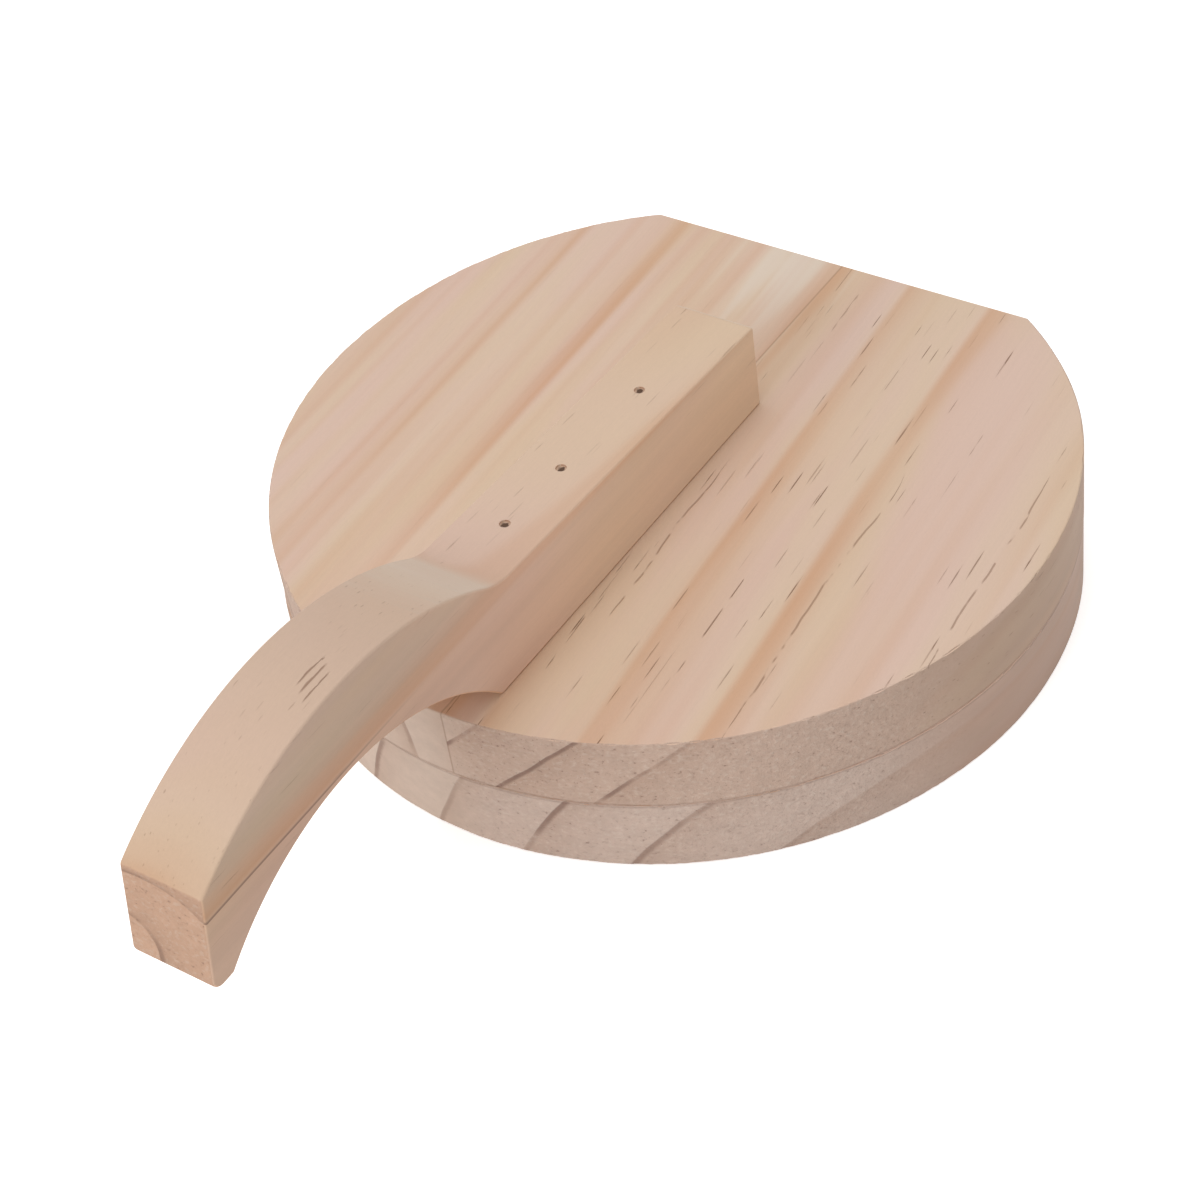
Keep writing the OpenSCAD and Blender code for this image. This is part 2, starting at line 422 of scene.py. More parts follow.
def crackGroup():
    # A hair crack along the grain, given by its line, its middle along that line and its length. It thins out
    # towards its ends.
    tree, given, out = newGroup("hairCrack", "ShaderNodeTree", {
        "Place": origin,
        "Crack": origin,
        "Thickness": 0.25,
    }, {"Mask": "NodeSocketFloat"})
    offset = vectorMaths(tree, "ABSOLUTE", vectorMaths(tree, "SUBTRACT", given["Place"], given["Crack"]))
    away = splitVector(tree, offset)
    length = splitVector(tree, given["Crack"])["Z"]
    half = times(tree, length, crackShape["half"])
    ended = smoothStep(tree, away["Y"], half, times(tree, length, crackShape["thinning"]))
    thickness = times(tree, given["Thickness"], ended)
    core = smoothStep(tree, away["X"], thickness, times(tree, thickness, crackShape["core"]))
    return closeGroup(tree, out, {"Mask": core})


faceInputs = {"Place": origin, "Band": origin, "Share": 0.0, "Strength": 1.0, "Canal": 0.0}
alongLook = {                    # a band's third axis is its stave's seed
    "tintStretch": (0.11, 0.010, 7.0),
    "tintRange": (0.54, 0.88),   # from cream to rosy
    "rosyShift": 0.4,            # how much of Rosy is added to the tint
    "fadingStretch": (0.05, 0.013, 3.0),
    "fadingRange": (0.10, 0.58),
    "closeRange": (1.0, 0.89),   # shares of a year, in which summer wood drops back to spring wood
    "tailPower": 2.4,            # a year darkens slowly at first, and more so where its line shows,
    "tailStrength": (0.34, 0.74),
    "headPower": 7.0,            # then fast at its end
    "headStrength": 0.54,
    "streakStretch": (0.26, 0.006, 11.0),
    "streakRange": (0.42, 0.80),
    "streakStrength": 0.38,
    "lineRise": (0.955, 0.985),  # shares of a year, in which its dark line starts and ends
    "lineFall": (1.0, 0.99),
    "fibreStretch": (2.2, 0.04, 2.2),
    "poreStretch": (4.5, 1.1, 4.5),
    "fibreShade": 0.08,
    "poreShade": 0.06,
    "canalStrength": 0.8,
    "roughnessReach": 0.12,
    "fibreHeight": 0.035,
    "poreHeight": 0.02,
    "canalHeight": -0.10,
    "lateHeight": 0.03,
}


def alongGroup():
    # A face along the grain: broad soft bands, fine fibres and dark dashes
    look = alongLook
    inputs = {**faceInputs, "Rosy": 0.5, "Line": 0.1}
    tree, given, out = newGroup("alongGrain", "ShaderNodeTree", inputs, surfaceOutputs)
    share = given["Share"]
    tint = noiseValue(tree, given["Band"], look["tintStretch"], detail=2.0)
    tint = maths(tree, "MULTIPLY_ADD", given["Rosy"], look["rosyShift"], tint)
    wood = blendColors(tree, smoothStep(tree, tint, *look["tintRange"]), pineLook["cream"], pineLook["rosy"])

    closing = smoothStep(tree, share, *look["closeRange"])
    fading = noiseValue(tree, given["Band"], look["fadingStretch"], detail=1.0)
    strength = times(tree, given["Strength"], smoothStep(tree, fading, *look["fadingRange"]))
    tailStrength = between(tree, given["Line"], *look["tailStrength"])
    tail = times(tree, maths(tree, "POWER", share, look["tailPower"]), tailStrength)
    head = maths(tree, "POWER", share, look["headPower"])
    head = maths(tree, "MULTIPLY_ADD", head, look["headStrength"], tail)
    late = times(tree, times(tree, head, closing), strength, clamp=True)
    streaks = noiseValue(tree, given["Band"], look["streakStretch"], detail=1.5, roughness=0.4)
    streaks = times(tree, smoothStep(tree, streaks, *look["streakRange"]), look["streakStrength"])
    late = maths(tree, "ADD", late, streaks, clamp=True)
    wood = blendColors(tree, late, wood, pineLook["late"])
    rise = smoothStep(tree, share, *look["lineRise"])
    line = times(tree, rise, smoothStep(tree, share, *look["lineFall"]))
    line = times(tree, line, given["Line"])
    wood = blendColors(tree, line, wood, pineLook["endLine"])

    fibre = noiseValue(tree, given["Place"], look["fibreStretch"], detail=3.0, roughness=0.65)
    pores = noiseValue(tree, given["Place"], look["poreStretch"], detail=1.0)
    shade = swings(tree, 1.0, (fibre, look["fibreShade"]), (pores, look["poreShade"]))
    wood = vectorMaths(tree, "SCALE", wood, shade)
    wood = blendColors(tree, times(tree, given["Canal"], look["canalStrength"]), wood, pineLook["canal"])
    relief = swings(tree, 0.0, (fibre, look["fibreHeight"]), (pores, look["poreHeight"]))
    relief = maths(tree, "MULTIPLY_ADD", given["Canal"], look["canalHeight"], relief)
    return closeGroup(tree, out, {
        "Color": wood,
        "Roughness": swings(tree, pineLook["roughness"], (fibre, look["roughnessReach"])),
        "Height": maths(tree, "MULTIPLY_ADD", late, look["lateHeight"], relief),
    })


acrossLook = {
    "mottleStretch": (0.30, 0.30, 0.42),
    "tornStretch": (1.0, 1.0, 1.5),
    "fleckRange": (0.50, 0.68),  # of the torn pattern: pale fibres, dark pits and the deepest holes
    "fleckStrength": 0.24,
    "pitRange": (0.43, 0.30),
    "pitStrength": 0.26,
    "holeRange": (0.33, 0.27),
    "holeStrength": 0.5,
    "latePower": 2.5,
    "lateStrength": 0.45,
    "closeRange": (1.0, 0.97),   # shares of a year, in which summer wood drops back to spring wood
    "raggedReach": 0.05,         # how far a torn line strays, as a share of a year
    "lineRise": (0.905, 0.955),  # shares of a year, in which its dark line starts and ends
    "lineFall": (1.0, 0.985),
    "lineStrength": 0.70,
    "fadingStretch": (0.09, 0.05, 0.09),
    "fadingRange": (0.34, 0.56),
    "canalStrength": 0.6,
    "mottleShade": 0.24,
    "roughnessReach": 0.1,
    "mottleHeight": 0.20,
    "tornHeight": 0.34,
    "lineHeight": -0.08,
}


def acrossGroup():
    # A face across the grain: dull, mottled and torn, with a dark line where some of the rings end
    look = acrossLook
    inputs = {**faceInputs, "Sawn": plainSawn, "Torn": 1.0}
    tree, given, out = newGroup("acrossGrain", "ShaderNodeTree", inputs, surfaceOutputs)
    share = given["Share"]
    mottle = noiseValue(tree, given["Place"], look["mottleStretch"], detail=3.0, roughness=0.6)
    torn = noiseValue(tree, given["Place"], look["tornStretch"], detail=3.0, roughness=0.62)

    def tornPart(label):
        part = smoothStep(tree, torn, *look[label + "Range"])
        return times(tree, part, times(tree, given["Torn"], look[label + "Strength"]))

    fleck = tornPart("fleck")
    pit = tornPart("pit")
    smooth = maths(tree, "SUBTRACT", 1.0, given["Torn"])
    wood = blendColors(tree, smooth, given["Sawn"], pineLook["endPale"])
    late = maths(tree, "POWER", share, look["latePower"])
    late = times(tree, late, smoothStep(tree, share, *look["closeRange"]))
    wood = blendColors(tree, times(tree, late, look["lateStrength"]), wood, pineLook["endLate"])
    wood = blendColors(tree, fleck, wood, pineLook["endFleck"])
    wood = blendColors(tree, pit, wood, pineLook["endLine"])
    wood = blendColors(tree, tornPart("hole"), wood, pineLook["endLine"])
    ragged = swings(tree, share, (torn, look["raggedReach"]))
    rise = smoothStep(tree, ragged, *look["lineRise"])
    line = times(tree, rise, smoothStep(tree, share, *look["lineFall"]))
    fading = noiseValue(tree, given["Place"], look["fadingStretch"], detail=2.0)
    kept = times(tree, smoothStep(tree, fading, *look["fadingRange"]), given["Strength"])
    line = times(tree, line, kept)
    wood = blendColors(tree, times(tree, line, look["lineStrength"]), wood, pineLook["endLine"])
    wood = blendColors(tree, times(tree, given["Canal"], look["canalStrength"]), wood, pineLook["endLine"])
    shade = swings(tree, 1.0, (mottle, look["mottleShade"]))
    relief = swings(tree, 0.0, (mottle, look["mottleHeight"]), (torn, look["tornHeight"]))
    relief = times(tree, relief, given["Torn"])
    return closeGroup(tree, out, {
        "Color": vectorMaths(tree, "SCALE", wood, shade),
        "Roughness": swings(tree, pineLook["endRoughness"], (torn, look["roughnessReach"])),
        "Height": maths(tree, "MULTIPLY_ADD", line, look["lineHeight"], relief),
    })


markLook = {                              # what is dark along the grain
    "loose": {"Spread": 0.85, "Length": 24.0, "Thickness": 0.19, "Broken": 0.5},
    "rows": {"Spread": 1.7, "Length": 240.0, "Thickness": 0.22, "Broken": 1.0},
    "patchStretch": (0.07, 0.010, 0.07),  # canals gather in patches
    "patchRange": (0.28, 0.46),
    "swayStretch": (0.012, 0.035, 0.012),
    "swayReach": 5.0,                     # how far a crack strays from its line
    "splitStretch": (0.3, 0.16, 0.3),     # a crack opens only here and there along its line
    "splitRange": (0.42, 0.52),
    "depthRange": (1.0, 0.5),             # below the face that cracks
    "crackStrength": 0.68,
}
crackLabels = ("Long Crack", "Rim Crack", "Inner Crack")


def resinMarks(tree, given, own, ofStave):
    # resin canals, loose and in rows, and the tears in the fibres
    canals = canalGroup()
    loose = useGroup(tree, canals, {"Place": own, **markLook["loose"]})["Mask"]
    rows = useGroup(tree, canals, {"Place": own, **markLook["rows"]})["Mask"]
    patches = noiseValue(tree, own, markLook["patchStretch"], detail=0.0)
    wanted = times(tree, smoothStep(tree, patches, *markLook["patchRange"]), ofStave("Dashes"))
    canal = times(tree, maths(tree, "MAXIMUM", loose, rows), wanted, clamp=True)
    tears = useGroup(tree, tearGroup(), {"Place": given["Place"], "Middle": given["Tear"]})["Mask"]
    return maths(tree, "MAXIMUM", canal, tears)


def hairCracks(tree, given, straight, height):
    sway = noiseValue(tree, straight, markLook["swayStretch"], detail=3.0)
    aside = swings(tree, 0.0, (sway, markLook["swayReach"]))
    swayed = vectorMaths(tree, "ADD", straight, joinVector(tree, x=aside))
    cracks = 0.0
    cracked = crackGroup()
    for label in crackLabels:
        crack = useGroup(tree, cracked, {"Place": swayed, "Crack": given[label]})["Mask"]
        cracks = maths(tree, "MAXIMUM", cracks, crack)
    splits = noiseValue(tree, straight, markLook["splitStretch"], detail=2.0)
    fromTop = awayFrom(tree, height, given["Crack Top"])
    opened = smoothStep(tree, splits, *markLook["splitRange"])
    shown = times(tree, opened, smoothStep(tree, fromTop, *markLook["depthRange"]))
    return times(tree, cracks, times(tree, shown, markLook["crackStrength"]))


blockLook = {                           # cut is how squarely a face meets the grain: 0 along it, 1 across it
    "staveSeed": 0.37,                  # from the left stave's seed to the right one's
    "faintestYear": 0.4,
    "lineRange": (-80.0, -122.0),       # along Y: the ring lines show towards the nose only
    "smoothTo": (9.0, -3.0),            # along X: the part of the rim that is cut smooth
    "smoothFrom": (-35.0, -25.0),
    "smoothTorn": 0.15,                 # how torn it still is there
    "squareRange": (0.58, 0.88),        # of cut: from here on ring lines show,
    "slantRange": (0.95, 0.72),         # a sanded face is a slant one,
    "endRange": (0.20, 0.60),           # a face turns into end grain,
    "paleRange": (0.22, 0.66),          # and a slant one into pale wood,
    "paleNose": (-125.0, -85.0),        # along Y: but not at the nose
    "paleStrength": 0.72,
    "glueOffset": 1.3,                  # the wood is darker that far right of the joint
    "glueRange": (1.9, 0.2),
    "glueStrength": 0.25,
    "patchSqueeze": (0.065, 0.035, 0),  # how fast the pale patch fades, across the grain and along it
    "patchRange": (2.0, 1.3),
    "patchStreaks": 2.2,                # how frayed it is
    "patchStrength": 0.75,
    "streakStretch": (0.22, 0.008, 0.22),
    "noseRange": (-40.0, -95.0),        # along Y: where the nose's painted shade and the painted light on its sides take over
    "uprightRange": (0.7, 0.3),         # of how far a face looks up or down: below it, it is a rim or a side
    "greyRange": (-0.8, 0.8),           # from the height at which a rim turns grey
    "grey": (0.93, 0.97, 1.0, 1.0),
    "rimStreaks": 0.24,
    "jointRange": (0.28, 0.05),         # from the middle of the glue line
    "jointStrength": 0.35,
    "seamRange": (0.7, 0.15),           # from the height at which the boards meet: painted shade of the gap between them
    "seamShadeStrength": 0.35,
    "underRange": (-0.1, -0.4),         # of how far a face looks up: below it, it is an underside and gets a warm painted shade of bounced light
}


def blockInputs():
    inputs = {
        "Place": origin,
        "Face": origin,
        "Joint": nowhere,
        "Skew": origin,
        "Wander": 0.5,
        "Tear": (0.0, nowhere, 0.0),
        "Rosy": 0.5,
        "Line": 0.1,
        "Sawn": plainSawn,
        "Rim": white,
        "Rim Sawn": 0.0,
        "Seam": nowhere,
        "Smooth Left": 0.0,
        "Sanded Slant": 0.0,
        "Tone": white,
        "Nose Painted Shade": white,
        "Nose Rim Painted Light": white,
        "Under Painted Shade": white,
        "Grey Above": -nowhere,
        "Pale Patch": (0.0, nowhere, 0.0),
        "Crack Top": nowhere,
        **{label: (nowhere, 0.0, 1.0) for label in crackLabels},
        "Seed": 0.0,
    }
    stave = {
        "Pith": origin, "Ring": 12.0, "First": 0.0, "Lean": 0.0, "Last": nowhere, "Bands": 1.0, "Dashes": 0.3,
    }
    for side in ("Left ", "Right "):
        inputs.update({side + label: value for label, value in stave.items()})
    return inputs


def paleTop(tree, given, own, longColor):
    # the pale patch, frayed along the grain; the same streaks are used again on the rim
    away = vectorMaths(tree, "SUBTRACT", given["Place"], given["Pale Patch"])
    away = vectorMaths(tree, "LENGTH", vectorMaths(tree, "MULTIPLY", away, blockLook["patchSqueeze"]))
    streaks = noiseValue(tree, own, blockLook["streakStretch"], detail=2.0)
    frayed = maths(tree, "MULTIPLY_ADD", streaks, blockLook["patchStreaks"], away)
    pale = times(tree, smoothStep(tree, frayed, *blockLook["patchRange"]), blockLook["patchStrength"])
    return blendColors(tree, pale, longColor, pineLook["pale"]), streaks


def rimWood(tree, given, longColor, noseShare, height, streaks):
    # the wood of a rim or a side that runs along the grain; on the boards its tone is the rough-sawn rim's
    # own darker colour, but on the handle it brightens the sides as painted light, less so on the nose
    rimColor = blendColors(tree, given["Rim Sawn"], longColor, given["Sawn"])
    rimToneAndLight = blendColors(tree, noseShare, given["Rim"], given["Nose Rim Painted Light"])
    above = maths(tree, "SUBTRACT", height, given["Grey Above"])
    grey = times(tree, noseShare, smoothStep(tree, above, *blockLook["greyRange"]))
    rimToneAndLight = blendColors(tree, grey, rimToneAndLight, blockLook["grey"], "MULTIPLY")
    rimToneAndLight = vectorMaths(tree, "SCALE", rimToneAndLight, swings(tree, 1.0, (streaks, blockLook["rimStreaks"])))
    return vectorMaths(tree, "MULTIPLY", rimColor, rimToneAndLight)


def pineGroup():
    # A solid block of pine, of one stave or of two glued edge to edge: the same rings show as bands on a
    # face along the grain and as arcs on a face across it
    look = blockLook
    tree, given, out = newGroup("solidPine", "ShaderNodeTree", blockInputs(), surfaceOutputs)
    parts = splitVector(tree, given["Place"])
    facing = splitVector(tree, given["Face"])
    fromJoint = maths(tree, "SUBTRACT", parts["X"], given["Joint"])
    right = maths(tree, "GREATER_THAN", fromJoint, 0.0)
    seed = maths(tree, "MULTIPLY_ADD", right, look["staveSeed"], given["Seed"])

    def ofStave(label):
        feeds = {0: right, 2: given["Left " + label], 3: given["Right " + label]}
        return addNode(tree, "ShaderNodeMix", feeds).outputs[0]

    # the rings, and how strong each of them is
    feeds = {0: right, 4: given["Left Pith"], 5: given["Right Pith"]}
    pith = addNode(tree, "ShaderNodeMix", feeds, data_type="VECTOR").outputs[1]
    ring = useGroup(tree, ringGroup(), {
        "Place": given["Place"], "Pith": pith, "Ring Width": ofStave("Ring"), "First Ring": ofStave("First"),
        "Last Ring": ofStave("Last"), "Skew": given["Skew"], "Lean": ofStave("Lean"),
        "Wander": given["Wander"], "Seed": seed,
    })
    year = maths(tree, "ADD", ring["Year"], seed)
    strength = addNode(tree, "ShaderNodeTexWhiteNoise", {"W": year}, noise_dimensions="1D").outputs["Value"]
    strength = between(tree, strength, look["faintestYear"], 1.0)
    own = seeded(tree, ring["Straight"], seed)
    canal = resinMarks(tree, given, own, ofStave)
    canal = maths(tree, "MAXIMUM", canal, hairCracks(tree, given, ring["Straight"], parts["Z"]))
    face = {"Place": own, "Band": ring["Band"], "Share": ring["Share"], "Strength": strength, "Canal": canal}

    # the wood along the grain and across it
    line = times(tree, given["Line"], smoothStep(tree, parts["Y"], *look["lineRange"]))
    bands = times(tree, strength, ofStave("Bands"))
    along = useGroup(tree, alongGroup(), {**face, "Strength": bands, "Rosy": given["Rosy"], "Line": line})
    smoothTo = smoothStep(tree, parts["X"], *look["smoothTo"])
    smoothPart = times(tree, smoothTo, smoothStep(tree, parts["X"], *look["smoothFrom"]))
    torn = between(tree, times(tree, smoothPart, given["Smooth Left"]), 1.0, look["smoothTorn"])
    cut = maths(tree, "ABSOLUTE", facing["Y"])
    squarely = times(tree, strength, smoothStep(tree, cut, *look["squareRange"]))
    feeds = {**face, "Strength": squarely, "Sawn": given["Sawn"], "Torn": torn}
    across = useGroup(tree, acrossGroup(), feeds)
    slant = times(tree, smoothStep(tree, cut, *look["slantRange"]), given["Sanded Slant"])
    endWood = maths(tree, "SUBTRACT", smoothStep(tree, cut, *look["endRange"]), slant, clamp=True)

    # what lies on top of the wood along the grain: pale slants, the glued edge, the pale patch and the rim
    paleSlant = times(tree, slant, smoothStep(tree, cut, *look["paleRange"]))
    paleSlant = times(tree, paleSlant, smoothStep(tree, parts["Y"], *look["paleNose"]))
    paleSlant = times(tree, paleSlant, look["paleStrength"])
    longColor = blendColors(tree, paleSlant, along["Color"], pineLook["slant"])
    besideGlue = awayFrom(tree, fromJoint, look["glueOffset"])
    nearGlue = times(tree, smoothStep(tree, besideGlue, *look["glueRange"]), look["glueStrength"])
    longColor = blendColors(tree, nearGlue, longColor, pineLook["late"])
    longColor, streaks = paleTop(tree, given, own, longColor)
    noseShare = smoothStep(tree, parts["Y"], *look["noseRange"])
    upright = smoothStep(tree, maths(tree, "ABSOLUTE", facing["Z"]), *look["uprightRange"])
    rimColor = rimWood(tree, given, longColor, noseShare, parts["Z"], streaks)
    longColor = blendColors(tree, upright, longColor, rimColor)

    # both together, with the glue line, the painted shade at the boards' seam, and the block's own tone,
    # which on the handle also carries painted shade on the nose and on the undersides
    color = blendColors(tree, endWood, longColor, across["Color"])
    glueLine = smoothStep(tree, maths(tree, "ABSOLUTE", fromJoint), *look["jointRange"])
    color = blendColors(tree, times(tree, glueLine, look["jointStrength"]), color, pineLook["canal"])
    fromSeam = awayFrom(tree, parts["Z"], given["Seam"])
    seamShade = times(tree, smoothStep(tree, fromSeam, *look["seamRange"]), upright)
    color = blendColors(tree, times(tree, seamShade, look["seamShadeStrength"]), color, pineLook["endLine"])
    # painted shade: the nose is darkened, as if it got less bounced light
    blockToneAndShade = blendColors(tree, noseShare, given["Tone"], given["Nose Painted Shade"])
    # warm painted shade on the undersides, standing in for light bounced under the arch
    underShadeMask = smoothStep(tree, facing["Z"], *look["underRange"])
    blockToneAndShade = blendColors(tree, underShadeMask, blockToneAndShade, given["Under Painted Shade"], "MULTIPLY")
    results = {"Color": vectorMaths(tree, "MULTIPLY", color, blockToneAndShade)}
    for label in ("Roughness", "Height"):
        feeds = {0: endWood, 2: along[label], 3: across[label]}
        results[label] = addNode(tree, "ShaderNodeMix", feeds).outputs[0]
    return closeGroup(tree, out, results)


pine = pineGroup()


def pineMaterial(name, cut):
    # cut says how the board was sawn out of the log
    material, tree, shader = newMaterial(name, pineLook["cream"])
    texture = addNode(tree, "ShaderNodeTexCoord").outputs
    place = placeInMillimetres(tree, texture)
    wood = useGroup(tree, pine, {"Place": place, "Face": texture["Normal"], **cut})
    finishSurface(tree, shader, wood)
    shader.inputs["Specular IOR Level"].default_value = pineLook["shine"]
    layOut(tree)
    return material


pressCut = {
    "Joint": 1.2,                              # two staves are glued here
    "Left Pith": (-150, 0, -13), "Left Ring": 17.0, "Left First": 126.8, "Left Lean": 0.05,
    "Left Dashes": 0.1, "Left Bands": 1.35,
    "Right Pith": (281, 0, -262), "Right Ring": 11.7, "Right First": 391.4, "Right Lean": 0.07,
    "Right Dashes": 1.0, "Right Last": -1.97,  # the wood beyond its third band is even
    "Wander": 0.5, "Rosy": 0.5, "Sawn": tone(196, 169, 152), "Rim": (0.84, 0.79, 0.75, 1.0),
    "Rim Sawn": 0.55, "Seam": 15.0, "Smooth Left": 1.0, "Pale Patch": (-10, 58, 30),
    # the face that cracks, then each crack's place across the grain, its middle along it and its length
    "Crack Top": 30.0, "Long Crack": (43.0, -24, 78), "Rim Crack": (67.5, -4, 62),
    "Inner Crack": (11.5, -22, 52), "Seed": 1.0,
}
baseCut = {
    "Joint": nowhere,  # one wide stave
    "Right Pith": (82, 0, -31), "Right Ring": 16.5, "Right First": 94.0, "Right Lean": 0.03,
    "Right Dashes": 0.3,
    "Wander": 0.5, "Rosy": 0.6, "Sawn": tone(203, 180, 166), "Rim": (0.84, 0.78, 0.74, 1.0),
    "Rim Sawn": 0.55, "Seam": 15.0, "Smooth Left": 1.0, "Seed": 4.0,
}
handleCut = {
    "Joint": nowhere,
    "Right Pith": (-17.7, 0, 35.7), "Right Ring": -5.7, "Right First": 19.6, "Right Lean": 0.0,
    "Right Dashes": 0.5, "Skew": (-0.63, 0, -0.08),
    "Right Last": -0.98,  # its outermost ring line is on the right side
    "Wander": 0.25, "Tear": (3.8, -103, 64), "Rosy": 0.7, "Line": 0.75, "Sawn": tone(207, 169, 145),
    "Sanded Slant": 1.0, "Grey Above": 53.0, "Seed": 7.0,
    # painted light: Rim and Nose Rim brighten the handle's sides, less so on the nose
    "Rim": (1.15, 1.13, 1.11, 1.0), "Nose Rim Painted Light": (1.09, 1.04, 1.02, 1.0), "Tone": (1.0, 0.98, 0.95, 1.0),
    # painted shade: the nose is darker, and the undersides darker and warmer, as if lit only by bounced light
    "Nose Painted Shade": (0.88, 0.86, 0.83, 1.0), "Under Painted Shade": (1.0, 0.86, 0.70, 1.0),
}
pressPine = pineMaterial("pressPine", pressCut)
basePine = pineMaterial("basePine", baseCut)
handlePine = pineMaterial("handlePine", handleCut)
print("pine materials made")


# boards

boardFinish = {
    "arrisRound": 0.3,          # mm, the sanded edge
    "arcPoints": 900,
    "bevelSteps": 3,
    "waver": 1.6,               # mm, how far the sawn outline swings over its whole round
    "waverStretch": 13,         # swings in a metre
    "calmBack": 0.012,          # m from the flat back, in which the outline doesn't swing in full
    "nicks": 0.2,               # mm, how deep the arrises are nicked
    "nickStretch": 420,         # swings in a metre
    "nickRange": (0.45, 0.75),
    "levelRange": (0.05, 0.4),  # of how far up a face looks: what looks level isn't nicked,
    "upRange": (0.99, 0.85),    # nor what looks straight up or down
    "mergeWithin": 1e-6,        # m
}
roundedFold = 40  # degrees; a fold of a board that is sharper than this is rounded


def boardTree():
    # A disc with a flat back: a sawn arc that wavers a little, closed by a straight line and thickened
    tree, given, out = newGroup("flatBackedDisc", "GeometryNodeTree", {
        "Radius": 0.075,
        "Flat Distance": 0.0625,
        "Underside": 0.0,
        "Thickness": 0.015,
        "Arc Points": 360,
        "Waver": 0.001,
        "Seed": 0.0,
        "Material": "NodeSocketMaterial",
    }, {"Geometry": "NodeSocketGeometry"})
    half = maths(tree, "ARCCOSINE", maths(tree, "DIVIDE", given["Flat Distance"], given["Radius"]))
    start = maths(tree, "ADD", half, math.pi / 2)
    sweep = maths(tree, "MULTIPLY_ADD", half, -2.0, 2 * math.pi)
    feeds = {"Resolution": given["Arc Points"], "Radius": given["Radius"]}
    feeds.update({"Start Angle": start, "Sweep Angle": sweep})
    arc = shapeNode(tree, "CurveArc", feeds, mode="RADIUS")
    position = shapeNode(tree, "InputPosition")
    depth = splitVector(tree, position)["Y"]
    fromFlat = maths(tree, "SUBTRACT", given["Flat Distance"], depth)
    fromFlat = smoothStep(tree, fromFlat, 0.0, boardFinish["calmBack"])
    own = seeded(tree, position, given["Seed"])
    swing = noiseValue(tree, own, (boardFinish["waverStretch"],) * 3, detail=1.0)
    swing = times(tree, maths(tree, "SUBTRACT", swing, 0.5), given["Waver"])
    swing = times(tree, swing, fromFlat)
    outwards = vectorMaths(tree, "SCALE", vectorMaths(tree, "NORMALIZE", position), swing)
    sawn = shapeNode(tree, "SetPosition", {0: arc, "Offset": outwards})
    outline = shapeNode(tree, "SetSplineCyclic", {0: sawn, "Cyclic": True})
    face = shapeNode(tree, "FillCurve", {0: outline}, mode="NGONS")
    lift = joinVector(tree, z=given["Underside"])
    face = shapeNode(tree, "Transform", {0: face, "Translation": lift})
    rise = joinVector(tree, z=given["Thickness"])
    feeds = {0: face, "Offset": rise, "Offset Scale": 1.0, "Individual": False}
    body = shapeNode(tree, "ExtrudeMesh", feeds)
    underside = shapeNode(tree, "FlipFaces", {0: face})
    joined = addNode(tree, "GeometryNodeJoinGeometry", {0: body})
    tree.links.new(underside, joined.inputs[0])
    feeds = {0: joined.outputs[0], "Distance": boardFinish["mergeWithin"]}
    merged = shapeNode(tree, "MergeByDistance", feeds)
    realized = shapeNode(tree, "RealizeInstances", {0: merged})
    finished = shapeNode(tree, "SetMaterial", {0: realized, "Material": given["Material"]})
    return closeGroup(tree, out, {"Geometry": finished})


def nickTree():
    # Small nicks in the rounded arrises: what looks neither up, down nor level is pushed in here and there
    tree, given, out = newGroup("nickedArris", "GeometryNodeTree", {
        "Geometry": "NodeSocketGeometry",
        "Depth": 0.0003,
        "Seed": 0.0,
    }, {"Geometry": "NodeSocketGeometry"})
    position = shapeNode(tree, "InputPosition")
    normal = shapeNode(tree, "InputNormal")
    upwards = maths(tree, "ABSOLUTE", splitVector(tree, normal)["Z"])
    notLevel = smoothStep(tree, upwards, *boardFinish["levelRange"])
    tilted = times(tree, notLevel, smoothStep(tree, upwards, *boardFinish["upRange"]))
    own = seeded(tree, position, given["Seed"])
    chance = noiseValue(tree, own, (boardFinish["nickStretch"],) * 3, detail=2.0)
    nicked = times(tree, smoothStep(tree, chance, *boardFinish["nickRange"]), tilted)
    depth = times(tree, nicked, given["Depth"])
    inwards = vectorMaths(tree, "SCALE", normal, times(tree, depth, -1.0))
    moved = shapeNode(tree, "SetPosition", {0: given["Geometry"], "Offset": inwards})
    return closeGroup(tree, out, {"Geometry": moved})


def setInputs(modifier, values):
    # inputs go by their socket's identifier, not by its name
    sockets = {s.name: s.identifier for s in modifier.node_group.interface.items_tree if s.in_out == "INPUT"}
    for name, value in values.items():
        modifier[sockets[name]] = value


def emptyPiece(name):
    piece = bpy.data.objects.new(name, bpy.data.meshes.new(name))
    scene.collection.objects.link(piece)
    return piece


def addRounding(piece, width, steps, limit="ANGLE"):
    bevel = piece.modifiers.new("rounding", "BEVEL")
    bevel.width = width * mm
    bevel.segments = steps
    bevel.limit_method = limit
    bevel.angle_limit = math.radians(roundedFold)
    bevel.harden_normals = True
    bevel.use_clamp_overlap = True


def bake(piece):
    # the modifiers' result becomes the piece's own mesh
    bpy.context.view_layer.update()
    shaped = piece.evaluated_get(bpy.context.evaluated_depsgraph_get())
    mesh = bpy.data.meshes.new_from_object(shaped)
    piece.modifiers.clear()
    piece.data = mesh
    mesh.name = piece.name
    return piece


def dress(piece, node):
    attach(piece, frame["nodes"][node]["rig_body"])
    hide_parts(node)
    return piece


